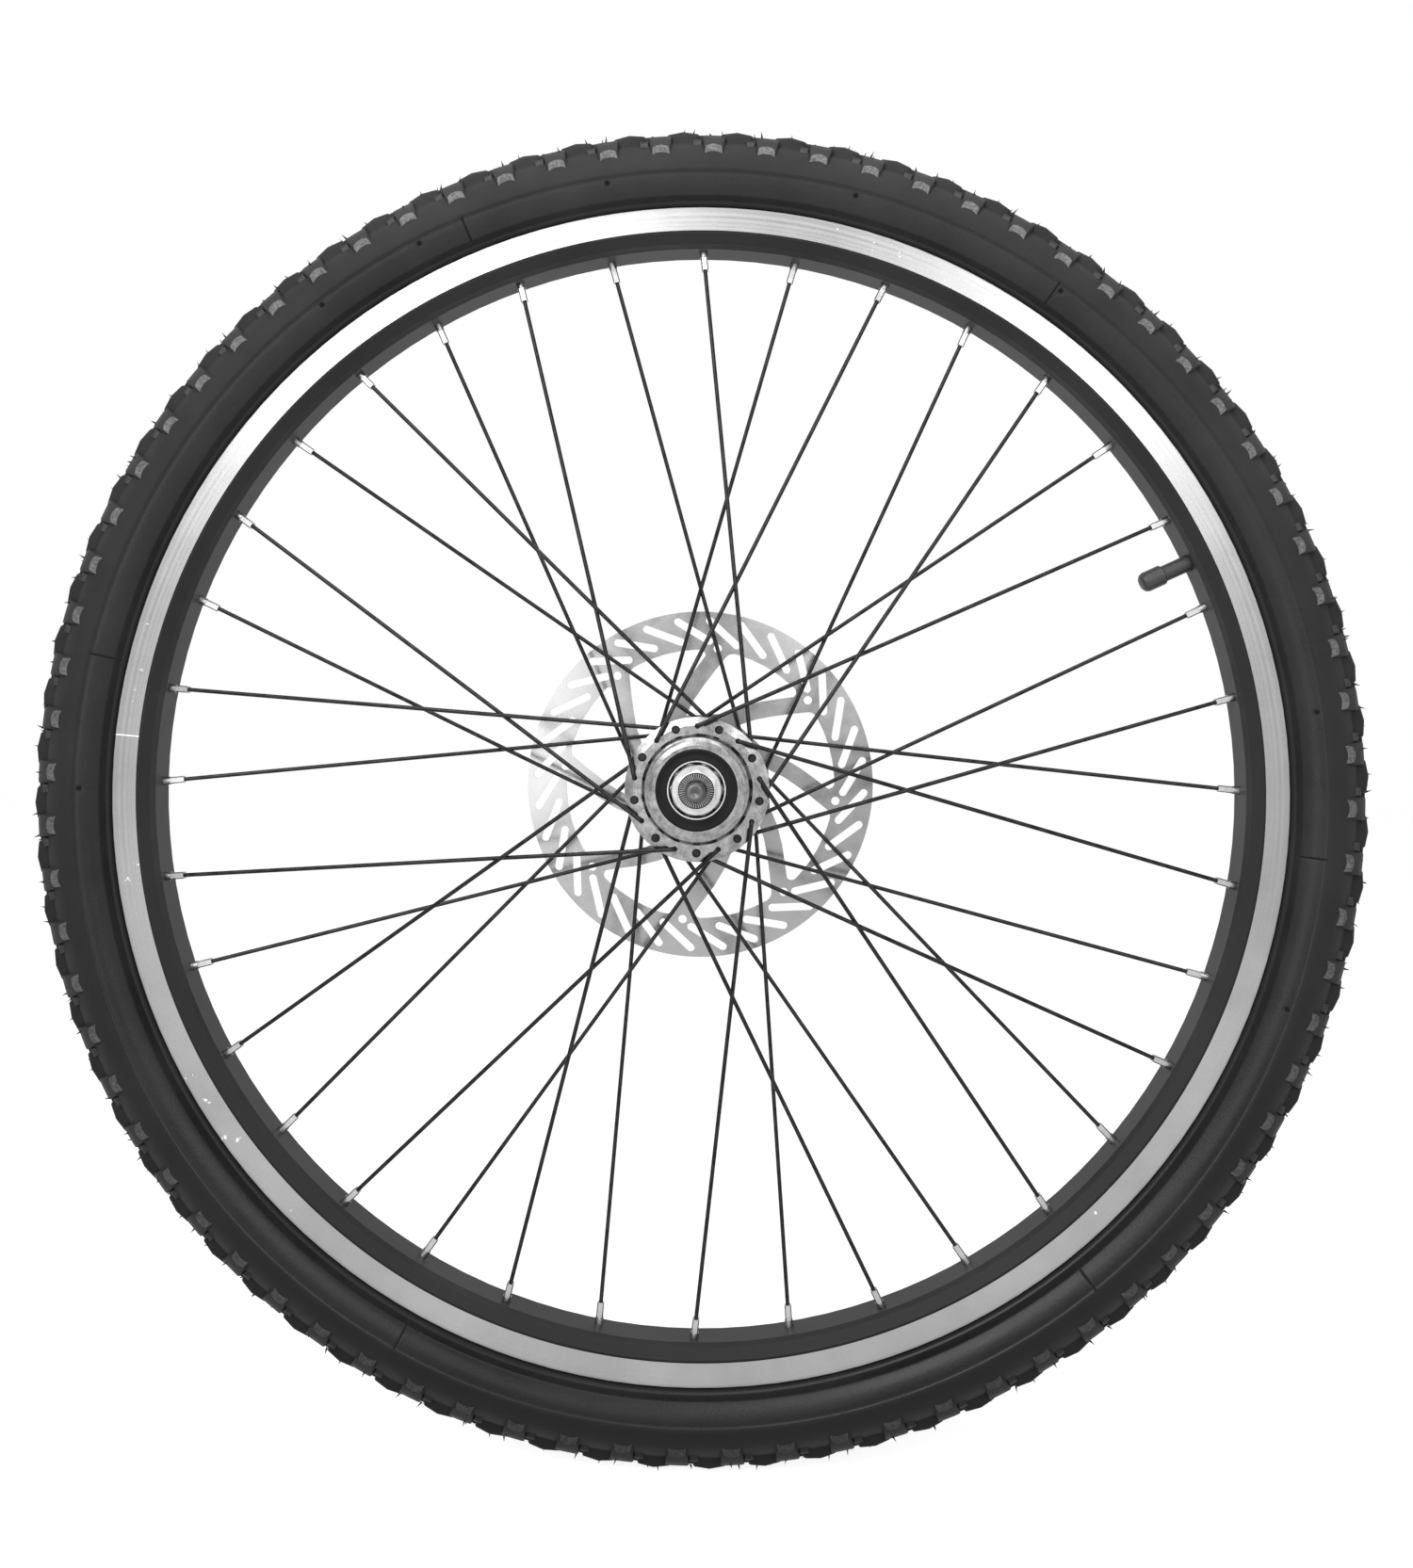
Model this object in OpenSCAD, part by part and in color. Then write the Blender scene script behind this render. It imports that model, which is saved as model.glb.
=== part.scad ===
// Front bicycle wheel with a knobby tyre, for a disc brake on a fork that is 100 mm wide inside.
// The wheel turns about Y. Its right-hand side faces -Y and the brake rotor is on the left, +Y.
// X points forwards, Z is up, and the origin is the middle of the rim on the axle's centre line.
// Angles are counted from +X towards +Z, which is anticlockwise seen from the right-hand side.

/* [Tyre] */
// Height of the middle tread blocks over the casing's widest place
tread_h = 24.5; // [22:0.5:28]
// Width of the casing at its widest
tyre_w = 50; // [48:1:54]
// Height of the casing's widest place over the bead seat
casing_up = 21.5; // [19.5:0.5:23.5]
// Height of the tread blocks over the casing
block_h = 4.5; // [3:0.5:5]
// Thickness of the side wall
wall_t = 1.6; // [1.2:0.1:2]
// Thickness of the casing under the tread
crown_t = 2.8; // [2.4:0.1:3.2]
// Step where the tread rubber ends on the side wall
tread_step = 0.5; // [0.3:0.1:0.8]
// Number of tread pitches round the tyre
pitches = 76; // [60:2:84]
// Distance of the shoulder blocks' outer face from the middle plane
shoulder_y = 23.6; // [22.6:0.2:24]
// Width of a shoulder block across the tyre
shoulder_w = 7; // [5:0.5:8]
// Width of an intermediate block across the tyre
flank_w = 8; // [6:0.5:9]
// Gap between two rows of blocks
row_gap = 1.4; // [1:0.1:2]
// Length of a shoulder block round the tyre, as a share of the pitch
shoulder_share = 0.37; // [0.3:0.01:0.45]
// Length of an intermediate block, as a share of the pitch
flank_share = 0.44; // [0.35:0.01:0.5]
// Length of a middle block, as a share of the pitch
middle_share = 0.6; // [0.4:0.01:0.7]
// Distance from a shoulder block to the next intermediate one, as a share of the pitch
flank_lag = 0.42; // [0.3:0.01:0.5]

/* [Inner tube and valve] */
// Thickness of the tube's wall
tube_t = 0.9; // [0.8:0.1:1.2]
// Gap between the inflated tube and the tyre
tube_gap = 0.3; // [0.2:0.1:0.5]
// Angle of the valve, half way between two spoke holes
valve_angle = 25; // [5:20:345]
// Diameter of the rubber-covered stem
stem_d = 8; // [7.6:0.1:8.2]
// Diameter of the stem's threaded end
stem_thread_d = 7.6; // [7:0.1:7.6]
// Length of the threaded end
stem_thread_l = 8; // [7:0.5:9]
// Length of stem that shows between the rim and the cap
stem_show = 14; // [10:1:20]
// Bore of the stem
stem_bore_d = 5.2; // [5:0.1:5.4]
// Diameter of the foot that is bonded inside the tube
foot_d = 9.4; // [9:0.1:9.6]
// Thickness of the foot
foot_t = 1.4; // [1:0.1:2]
// Length of the valve core
core_l = 12; // [10:1:14]
// Diameter of the core's pin
pin_d = 1.2; // [1:0.1:1.4]
// Diameter of the pin's lower seal
seal_d = 3.6; // [3:0.1:4]
// Diameter of the cap
cap_d = 10; // [9.6:0.1:10.8]
// Length of the cap
cap_l = 12; // [11:0.5:13]

/* [Rim] */
// Radius of the bead seat, half of the 559 mm standard
seat_r = 279.5; // [279.5]
// Height of the rim's hooks over the bead seat
hook_h = 6.3; // [5.8:0.1:6.8]
// Width of the rim over its brake tracks
rim_w = 26; // [25:0.5:28]
// Height of the brake track
track_h = 11.8; // [10:0.2:13]
// Depth of the inner face that the nipples stand on, under the bead seat
bed_depth = 12.9; // [11.9:0.2:13.9]
// Half width of the flat part of that inner face
bed_y = 7.6; // [7:0.2:8.4]
// Depth of the tyre well's floor under the bead seat
well_depth = 2.9; // [2.1:0.2:3.5]
// Half width of the well's floor
well_y = 6.2; // [6:0.1:6.6]
// Thickness of the extrusion's walls
rim_t = 1.5; // [1.2:0.1:1.8]
// Thickness of the rim tape
tape_t = 0.5; // [0.4:0.1:0.8]

/* [Spokes and nipples] */
// Diameter of a spoke
spoke_d = 2; // [1.8:0.1:2.2]
// Radius of the spoke's bend at the hub
elbow_r = 1.4; // [1.2:0.1:1.5]
// Diameter of a spoke at its bends, where it is swaged
bend_d = 2.1; // [2.06:0.02:2.12]
// Diameter of a spoke's head
head_d = 4; // [3.6:0.1:4.4]
// Height of a spoke's head
head_h = 1.2; // [1:0.1:1.6]
// Distance of the spoke holes in the rim from its middle plane
stagger = 2.5; // [1.5:0.1:3]
// Number of spokes of its own flange that a spoke crosses
crosses = 3; // [3]
// Gap between two spokes where they cross
lace_gap = 0.15; // [0.1:0.05:0.3]
// Diameter of a nipple
nipple_d = 4; // [3.8:0.1:4.2]
// Distance over a nipple's flats
nipple_af = 3.3; // [3.2:0.1:3.5]
// Length of a nipple under its head
nipple_l = 11.4; // [10:0.2:13]
// Diameter of a nipple's head
nipple_head_d = 6; // [5.6:0.1:6.4]
// Height of a nipple's head
nipple_head_h = 2.2; // [2:0.1:2.6]

/* [Hub shell] */
// Distance of the right-hand flange from the middle plane
flange_right = 33; // [32:0.5:34]
// Distance of the left-hand flange from the middle plane
flange_left = 22; // [21:0.5:23]
// Radius of the flanges
flange_r = 34; // [33.5:0.5:36]
// Thickness of the flanges
flange_t = 3.2; // [2.8:0.1:3.4]
// Radius of the circle of spoke holes
hole_circle_r = 29.75; // [29.5:0.25:30]
// Diameter of a spoke hole in the flange
hole_d = 2.6; // [2.5:0.1:2.8]
// Radius of the barrel
barrel_r = 17; // [16:0.5:19]
// Radius of the raised boss on the right-hand flange
boss_r = 24.8; // [24.4:0.1:25.2]
// Distance of the shell's ends from the middle plane
shell_end = 43.2; // [42.8:0.1:43.4]
// Radius of the clearance bore round the axle
shell_bore_r = 7.2; // [6.4:0.1:7.4]

/* [Bearings] */
// Diameter of a ball, 3/16 inch
ball_d = 4.76; // [4.76]
// Number of balls in each bearing
balls = 10; // [8:1:10]
// Radius of the circle through the balls' middles
ball_circle_r = 8.6; // [8.5:0.1:8.8]
// Distance of the balls from the middle plane
ball_y = 38.4; // [38:0.1:38.6]
// Running gap between a ball and its races
race_gap = 0.08; // [0.05:0.01:0.1]
// Outer radius of the pressed cups
cup_r = 13.6; // [13.4:0.1:13.8]
// Thickness of the cup's lip
lip_t = 0.6; // [0.6:0.1:1]
// Outer radius of the right-hand dust seal
seal_right_r = 19.1; // [18.6:0.1:19.6]
// Outer radius of the left-hand dust seal
seal_left_r = 16; // [15.6:0.1:16.2]
// Thickness of the dust seals
seal_t = 3; // [2:0.2:3.4]

/* [Axle] */
// Width over the locknuts, which is the fork's inner width
over_locknut = 100; // [100]
// Length of the axle
axle_l = 140; // [134:1:146]
// Diameter of the axle
axle_d = 9.5; // [9.5]
// Pitch diameter of its thread, which the cones, washers and nuts sit on
grip_d = 8.9; // [8.7:0.1:9]
// Size of the locknut over its flats
nut_af = 17; // [16.5:0.5:17]
// Thickness of a locknut
nut_t = 5; // [4.6:0.1:5]
// Number of serrations on a locknut's face
serrations = 44; // [32:2:48]
// Depth of the serrations
serration_h = 0.4; // [0.3:0.1:0.5]
// Radius of the washer under each locknut
washer_r = 11.6; // [11.4:0.1:12]
// Thickness of that washer
washer_t = 1.5; // [1.2:0.1:1.6]

/* [Brake rotor] */
// Radius of the rotor
rotor_r = 90; // [80:5:100]
// Thickness of the rotor
rotor_t = 2; // [1.8:0.1:2]
// Distance of the rotor's seat from the middle plane
rotor_y = 36.5; // [36:0.1:37]
// Width of the brake band
band_w = 20; // [16:1:22]
// Number of arms
arms = 8; // [6:1:9]
// Width of an arm
arm_w = 8.6; // [7:0.2:10]
// Slots in the band for each arm
arm_slots = 4; // [3:1:4]
// Width of a slot in the band
slot_w = 4; // [3:0.2:5]
// Angle that a slot sweeps from its outer to its inner end
slot_sweep = 11.5; // [8:0.5:13]
// Width of the metal left outside and inside a slot
slot_edge = 2.6; // [2.2:0.1:3.4]
// Diameter of the hole at the root of each arm
root_hole_d = 4.4; // [4:0.2:5]
// Angle of the first of those holes
root_hole_angle = 38.1; // [0:0.1:45]
// Radius of the circle of the six bolts
bolt_circle_r = 22; // [22]
// Diameter of the bolts
bolt_d = 5; // [5]
// Length of the bolts under their heads
bolt_l = 8; // [7:0.5:9]
// Diameter of the bolts' heads
bolt_head_d = 9; // [8:0.2:9.4]
// Height of the bolts' heads
bolt_head_h = 2.6; // [2:0.1:3]
// Radius of the hub's spigot that centres the rotor
spigot_r = 17.4; // [17.2:0.1:17.4]

/* [Hidden] */
SPOKES = 36;
FLANGE_HOLES = SPOKES / 2;
BOLTS = 6;
rim_step = 360 / SPOKES;
flange_step = 360 / FLANGE_HOLES;
first_hole = valve_angle - rim_step / 2;
spoke_names = [for (i = [1:SPOKES]) str("spoke_", i < 10 ? "0" : "", i)];
$fn = 96;

// Small clearances and overlaps
snug = 0.1;
bury = 1;
spread = 0.3;

// Tyre: the casing and the tread follow half ellipses about the widest point
half_w = tyre_w / 2;
casing_r = seat_r + casing_up;
tyre_r = casing_r + tread_h;
casing_h = tread_h - block_h;
tread_half_w = half_w + 1.2;
shoulder_in = shoulder_y - shoulder_w;
flank_out = shoulder_in - row_gap;
flank_in = flank_out - flank_w;
middle_y = flank_in - row_gap;
pitch = 360 / pitches;
tread_phase = valve_angle + 101.5;

// Rim: places that the tyre, the tape and the nipples share
hook_r = seat_r + hook_h;
well_r = seat_r - well_depth;
bed_r = seat_r - bed_depth;
hook_y = rim_w / 2 - rim_t;
bridge_r = bed_r + rim_t + 0.3;
nipple_seat_r = bridge_r - 0.3;
track_r = hook_r - track_h;
bed_slope_y = rim_w / 2 - 3;
access_r = 3.7;
valve_hole_r = stem_d / 2 + 0.25;

// Hub and axle: places along the axle, counted from the middle plane
nut_in = over_locknut / 2 - nut_t;
washer_in = nut_in - washer_t;
grip_r = grip_d / 2;
grip_end = over_locknut / 2 + 0.4;
axle_chamfer = 1.2;
ball_r = ball_d / 2;
race_r = ball_r + race_gap;
cup_floor = ball_y - 3.8;
boss_step_r = boss_r - 2.1;
mount_in = 29.5;
mount_lobe_r = 4.4;
pad_h = 0.4;
rotor_out = rotor_y + rotor_t;
ring_in = rotor_r - band_w;
carrier_r = 31;

// Spokes: how far round the rim a spoke ends from where it leaves the hub, and where it meets
// the last spoke that it crosses
lead = crosses * 2 * rim_step;
cross_angle = (2 * crosses - 1) * flange_step / 2;
reach = [nipple_seat_r * cos(lead) - hole_circle_r, nipple_seat_r * sin(lead)];
cross_at = tan(cross_angle) * hole_circle_r / (reach.y - tan(cross_angle) * reach.x) * norm(reach);
lie = spoke_d / 2 + snug;
dip = 0.15;

// Rubber, metal and plastic colours
black_rubber = [0.16, 0.16, 0.17];
bright_metal = [0.78, 0.79, 0.8];
dark_steel = [0.25, 0.26, 0.28];
brass_metal = [0.72, 0.6, 0.3];
black_plastic = [0.1, 0.1, 0.11];

function mirrored(half) = concat(half, [for (i = [len(half) - 1:-1:0]) [half[i].x, -half[i].y]]);
function ellipse_r(h, w, y) = casing_r + h * sqrt(max(0, 1 - pow(y / w, 2)));
function casing_at(y) = ellipse_r(casing_h, half_w, y);
function tread_at(y) = ellipse_r(tread_h, tread_half_w, y);
function wall_arc(h, w, from, to, steps) = [for (i = [0:steps])
    let (a = from + (to - from) * i / steps) [casing_r + h * sin(a), w * cos(a)]];
function polar(r, a) = [r * cos(a), r * sin(a)];

// Turns a profile of [radius, place along Y] about the Y axis
module turned() rotate([-90, 0, 0]) rotate_extrude() children();
// Turns what stands on +X to an angle round the wheel
module around(a) rotate([0, -a, 0]) children();
// A profile drawn for the left-hand side, put on either side: 1 is left and -1 is right
module on_side(s) { if (s > 0) children(); else mirror([0, 1, 0]) children(); }
// A cylinder along Y from one place to another
module bar_y(r, from, to) translate([0, from, 0]) rotate([-90, 0, 0]) cylinder(r = r, h = to - from);

// Tyre

casing_outer = concat([[casing_r + casing_h, 0]],
    [for (y = [middle_y, flank_in, flank_out, shoulder_in, shoulder_y]) [casing_at(y), y]],
    wall_arc(casing_h, half_w, 12, 0, 2),
    wall_arc(casing_h, half_w - tread_step, 0, -40, 6));
bead_outer = [[hook_r + 0.8, rim_w / 2 + 1.4], [hook_r + spread, rim_w / 2 + 0.2],
    [hook_r + spread, hook_y - 0.5], [hook_r - 1.6, hook_y - 1.2], [hook_r - 3.4, hook_y - 0.4],
    [seat_r + spread, hook_y - 0.2], [seat_r + spread, hook_y - 3.9]];
bead_inner = [[seat_r + 2, hook_y - 4.3], [hook_r - 0.3, hook_y - 2.8], [hook_r + 1.9, hook_y + 1.2]];
casing_inner = wall_arc(casing_h - crown_t, half_w - tread_step - wall_t, -40, 90, 20);
tyre_half = concat(casing_outer, bead_outer, bead_inner, casing_inner);

// One row of tread blocks between two places across the tyre
module block_row(y0, y1, share, shift) {
    middle = (y0 + y1) / 2;
    base = min(casing_at(y0), casing_at(y1)) - 3 * bury;
    intersection() {
        turned() polygon([[casing_at(y0) - bury, y0], [tread_at(y0), y0], [tread_at(middle), middle],
            [tread_at(y1), y1], [casing_at(y1) - bury, y1]]);
        translate([0, y1 + bury, 0]) rotate([90, 0, 0]) linear_extrude(y1 - y0 + 2 * bury)
            polygon([for (i = [0:pitches - 1]) let (a = tread_phase + (i + shift) * pitch)
                for (p = [[base, -1], [tyre_r + bury, -1], [tyre_r + bury, 1], [base, 1]])
                    polar(p.x, a + p.y * share * pitch / 2)]);
    }
}

module tyre() color(black_rubber) {
    turned() polygon(concat(tyre_half, [for (i = [len(tyre_half) - 2:-1:1])
        [tyre_half[i].x, -tyre_half[i].y]]));
    for (s = [-1, 1]) {
        block_row(s > 0 ? shoulder_in : -shoulder_y, s > 0 ? shoulder_y : -shoulder_in,
            shoulder_share, s > 0 ? 0.5 : 0);
        block_row(s > 0 ? flank_in : -flank_out, s > 0 ? flank_out : -flank_in,
            flank_share, (s > 0 ? 0.5 : 0) - flank_lag);
    }
    block_row(-middle_y, middle_y, middle_share, 0.3);
}

// Inner tube, tape and valve

tape_in = well_r + snug / 2;
tape_r = well_r + tape_t;
tube_half = concat([[tape_r, 0], [tape_r, well_y - 0.8], [seat_r + 2.4, hook_y - 4.7],
    [hook_r - 0.1, hook_y - 3.3], [hook_r + 2.1, hook_y + 0.6]],
    wall_arc(casing_h - crown_t - tube_gap, half_w - tread_step - wall_t - tube_gap, -40, 90, 18));
tube_bore_half = concat([[tape_r + tube_t, 0], [tape_r + tube_t, well_y - 1.4],
    [seat_r + 3, hook_y - 5.7], [hook_r + 0.3, hook_y - 4.4], [hook_r + 3, hook_y - 0.6]],
    wall_arc(casing_h - crown_t - tube_gap - tube_t, half_w - tread_step - wall_t - tube_gap - tube_t,
        -38, 90, 18));

// Puts what stands up from z = 0 on the valve's line, pointing at the hub, from a radius
module on_valve(r) around(valve_angle) translate([r, 0, 0]) rotate([0, -90, 0]) children();

cap_r0 = bed_r - stem_show;
stem_l = tape_r + tube_t - cap_r0 + stem_thread_l;
core_top = stem_l - 0.6;
pin_top = stem_l + 0.3;

module inner_tube() color(black_rubber) difference() {
    turned() polygon(mirrored(tube_half));
    turned() polygon(mirrored(tube_bore_half));
    on_valve(tape_r + 3) cylinder(d = stem_d, h = 6);
}

module valve_stem() color(black_rubber) on_valve(tape_r + tube_t) difference() {
    rotate_extrude() polygon([[0, -foot_t], [foot_d / 2 - 1, -foot_t], [foot_d / 2, 0], [stem_d / 2, 0],
        [stem_d / 2, stem_l - stem_thread_l], [stem_thread_d / 2, stem_l - stem_thread_l],
        [stem_thread_d / 2, stem_l - 0.5], [stem_thread_d / 2 - 0.5, stem_l], [0, stem_l]]);
    translate([0, 0, core_top - core_l]) cylinder(d = stem_bore_d, h = core_l + 2);
    translate([0, 0, -foot_t - 1]) cylinder(d = seal_d + 0.8, h = core_top - core_l + foot_t + 2);
}

module valve_core() color(brass_metal) on_valve(tape_r + tube_t)
    translate([0, 0, core_top - core_l]) difference() {
        cylinder(d = stem_bore_d, h = core_l);
        translate([0, 0, -1]) cylinder(d = pin_d + 0.2, h = core_l + 2);
        for (a = [0, 90]) rotate([0, 0, a]) translate([-stem_bore_d / 2, -0.5, core_l - 1.5])
            cube([stem_bore_d, 1, 2]);
    }

module valve_pin() color(bright_metal) on_valve(tape_r + tube_t) rotate_extrude()
    polygon([[0, core_top - core_l - 2], [seal_d / 2, core_top - core_l - 2],
        [seal_d / 2, core_top - core_l - snug], [pin_d / 2, core_top - core_l - snug],
        [pin_d / 2, pin_top - 0.2], [pin_d / 2 - 0.2, pin_top], [0, pin_top]]);

module valve_cap() color(black_plastic) on_valve(cap_r0) difference() {
    rotate_extrude() polygon([[0, 0], [cap_d / 2 - 0.4, 0], [cap_d / 2, 0.5], [cap_d / 2, cap_l - 3],
        [cap_d / 2 - 0.6, cap_l - 1.4], [cap_d / 2 - 1.9, cap_l - 0.4], [0, cap_l]]);
    translate([0, 0, -1]) cylinder(d = stem_thread_d + 0.1, h = stem_thread_l + 3);
}

// Rim

rim_outer_half = [[bed_r, 0], [bed_r, bed_y], [bed_r + 1.6, bed_slope_y], [track_r - 0.8, rim_w / 2 - 0.5],
    [track_r, rim_w / 2 - 0.4], [track_r, rim_w / 2], [hook_r - 0.4, rim_w / 2],
    [hook_r, rim_w / 2 - 0.4], [hook_r, hook_y - 0.3], [hook_r - 1.6, hook_y - 0.9],
    [hook_r - 3.2, hook_y], [seat_r, hook_y], [seat_r, well_y + 2.3], [well_r, well_y], [well_r, 0]];
rim_hollow_half = [[bridge_r, 0], [bridge_r, bed_y - 0.6], [bridge_r + 1.4, bed_slope_y - 1.1],
    [track_r, rim_w / 2 - 1.9], [well_r + 0.6, rim_w / 2 - 1.6 - snug], [well_r + 0.6, well_y + 1.7],
    [well_r - rim_t, well_y - 0.4], [well_r - rim_t, 0]];

module rim() color(bright_metal) difference() {
    turned() polygon(mirrored(rim_outer_half));
    turned() polygon(mirrored(rim_hollow_half));
    for (i = [0:SPOKES - 1]) {
        at_nipple(i) {
            translate([0, 0, -6]) cylinder(d = nipple_d + 0.4, h = 7);
            cylinder(d = nipple_head_d + 0.3, h = nipple_head_h + 1);
        }
        around(rim_angle(i)) translate([well_r - 3, side(i) * stagger * 0.8, 0])
            rotate([0, 90, 0]) cylinder(r = access_r, h = 5);
    }
    on_valve(well_r + 3) cylinder(r = valve_hole_r, h = 14);
}

module rim_tape() color(black_rubber) difference() {
    turned() polygon([[tape_in, -well_y + 0.3], [tape_r, -well_y + 0.3], [tape_r, well_y - 0.3],
        [tape_in, well_y - 0.3]]);
    on_valve(tape_r + 2) cylinder(r = valve_hole_r, h = 4);
}

// Spokes and nipples. Spoke i ends at rim hole i, counted clockwise from the valve.
// Odd ones are laced to the right-hand flange. Of each flange's spokes, every second one runs
// clockwise to the rim with its bend outside the flange, the others the other way round.

function rim_angle(i) = first_hole - i * rim_step;
function side(i) = i % 2 == 1 ? -1 : 1;
function runs_back(i) = i % 4 > 1;
function hub_angle(i) = rim_angle(i) + (runs_back(i) ? lead : -lead);
function flange_at(i) = side(i) > 0 ? flange_left : flange_right;
function plan_angle(i) = let (d = polar(nipple_seat_r, rim_angle(i)) - polar(hole_circle_r, hub_angle(i)))
    atan2(d.y, d.x);

// In the plane through the spoke and parallel to Y, [along the spoke, out from the middle plane]:
// the middle of the bend, the point of crossing, and the seat of the nipple
function out(i) = runs_back(i) ? 1 : -1;
function bend_mid(i) = [elbow_r, flange_at(i) + out(i) * (flange_t / 2 + lie - elbow_r)];
function straight_y(i, x) = let (y0 = flange_at(i) + out(i) * (flange_t / 2 + lie))
    y0 + (stagger - y0) * x / norm(reach);
function cross_y(i) = flange_at(i) + (stagger - flange_at(i)) * cross_at / norm(reach)
    - out(i) * (spoke_d + lace_gap) / 2;
function cross_point(i) = [cross_at, cross_y(i)];
seat_point = [norm(reach), stagger];
function first_slope(i) = let (v = cross_point(i) - bend_mid(i))
    atan2(v.y, v.x) - out(i) * asin(elbow_r / norm(v));
function last_slope(i) = let (v = seat_point - cross_point(i)) atan2(v.y, v.x);

// The spoke's own plane: X along the spoke from its hole in the flange, Y outwards from the middle
module in_plane(i) on_side(side(i)) around(hub_angle(i)) translate([hole_circle_r, 0, 0])
    around(plan_angle(i) - hub_angle(i)) children();

// The nipple's seat, with Z along the last stretch of the spoke and away from the hub
module at_nipple(i) in_plane(i) translate([seat_point.x, seat_point.y, 0])
    rotate([0, 0, last_slope(i)]) rotate([0, 90, 0]) children();

module rod(p, slope, length) translate([p.x, p.y, 0]) rotate([0, 0, slope]) rotate([0, 90, 0])
    cylinder(d = spoke_d, h = length, $fn = 24);

module spoke(i) color(dark_steel) in_plane(i) {
    o = out(i);
    bend = bend_mid(i);
    turn = 90 - o * first_slope(i);
    leave = bend + elbow_r * [-cos(turn), o * sin(turn)];
    head_y = flange_at(i) - o * flange_t / 2;
    translate([0, head_y, 0]) rotate([o * 90, 0, 0]) {
        cylinder(d = head_d, h = head_h / 2);
        translate([0, 0, head_h / 2]) cylinder(d1 = head_d, d2 = head_d * 0.7, h = head_h / 2);
    }
    rod([0, head_y - o * dip], o * 90, abs(bend.y - head_y) + 2 * dip);
    translate([bend.x, bend.y, 0]) rotate([0, 0, o > 0 ? 180 - turn : 180]) rotate_extrude(angle = turn)
        translate([elbow_r, 0]) circle(d = bend_d, $fn = 24);
    rod(leave - polar(dip, first_slope(i)), first_slope(i), norm(cross_point(i) - leave) + dip);
    translate([cross_at, cross_y(i), 0]) rotate([0, 0, 90]) sphere(d = bend_d, $fn = 24);
    rod(cross_point(i), last_slope(i), norm(seat_point - cross_point(i)) + nipple_head_h - 1);
}

module nipples() color(bright_metal) for (i = [0:SPOKES - 1]) at_nipple(i) difference() {
    union() {
        intersection() {
            translate([0, 0, -nipple_l]) cylinder(d = nipple_d, h = nipple_l);
            translate([-nipple_af / 2, -nipple_af / 2, -nipple_l]) cube([nipple_af, nipple_af, nipple_l]);
        }
        translate([0, 0, -4.6]) cylinder(d = nipple_d, h = 4.6);
        cylinder(d = nipple_head_d, h = nipple_head_h - 0.7);
        translate([0, 0, nipple_head_h - 0.7])
            cylinder(d1 = nipple_head_d, d2 = nipple_head_d - 1.4, h = 0.7);
    }
    translate([0, 0, -nipple_l - 1]) cylinder(d = spoke_d, h = nipple_l + nipple_head_h + 2);
    translate([-nipple_head_d, -0.5, nipple_head_h - 0.9]) cube([2 * nipple_head_d, 1, 2]);
}

// Hub shell

right_face = flange_right + flange_t / 2;
left_face = flange_left + flange_t / 2;
bevel_r = hole_circle_r + 0.2;
bevel = 1.5;
shell_profile = [[shell_bore_r, -cup_floor], [cup_r, -cup_floor], [cup_r, -shell_end + seal_t],
    [seal_right_r, -shell_end + seal_t], [seal_right_r, -shell_end], [seal_right_r + 1.6, -shell_end],
    [boss_step_r, -shell_end + 1], [boss_step_r, -shell_end + 3.4], [boss_step_r + 1, -shell_end + 4.2],
    [boss_r - 0.4, -shell_end + 4.6], [boss_r, -right_face - 1.6], [boss_r + 1.4, -right_face],
    [bevel_r, -right_face], [flange_r, -right_face + bevel], [flange_r, -right_face + flange_t - 0.5],
    [flange_r - 0.5, -right_face + flange_t], [boss_r + 0.6, -right_face + flange_t],
    [boss_r - 1.4, -right_face + flange_t + 1.4], [barrel_r + 2, -19], [barrel_r, -14], [barrel_r, 9],
    [barrel_r + 2, 13], [boss_r - 1.4, left_face - flange_t - 1.4], [boss_r + 0.6, left_face - flange_t],
    [flange_r - 0.5, left_face - flange_t], [flange_r, left_face - flange_t + 0.5],
    [flange_r, left_face - bevel], [bevel_r, left_face], [boss_r, left_face],
    [barrel_r + 4, left_face + 1.6], [barrel_r + 4, mount_in + 0.5], [bolt_circle_r, mount_in + 0.5],
    [bolt_circle_r, rotor_y - pad_h], [spigot_r, rotor_y - pad_h], [spigot_r, shell_end - 0.5],
    [spigot_r - 0.5, shell_end], [seal_left_r, shell_end], [seal_left_r, shell_end - seal_t],
    [cup_r, shell_end - seal_t], [cup_r, cup_floor], [shell_bore_r, cup_floor]];

module hub_shell() color(bright_metal) difference() {
    union() {
        turned() polygon(shell_profile);
        for (k = [0:BOLTS - 1]) around(bolt_angle(k)) translate([bolt_circle_r, 0, 0])
            bar_y(mount_lobe_r, mount_in, rotor_y);
    }
    for (i = [0:SPOKES - 1]) around(hub_angle(i)) translate([hole_circle_r, 0, 0])
        bar_y(hole_d / 2, side(i) * flange_at(i) - flange_t, side(i) * flange_at(i) + flange_t);
    for (k = [0:BOLTS - 1]) around(bolt_angle(k)) translate([bolt_circle_r, 0, 0])
        bar_y(bolt_d / 2, rotor_out - bolt_l - 0.3, rotor_y + 1);
}

function bolt_angle(k) = root_hole_angle + k * 360 / BOLTS;

// Bearings, drawn for the left-hand side

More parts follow.
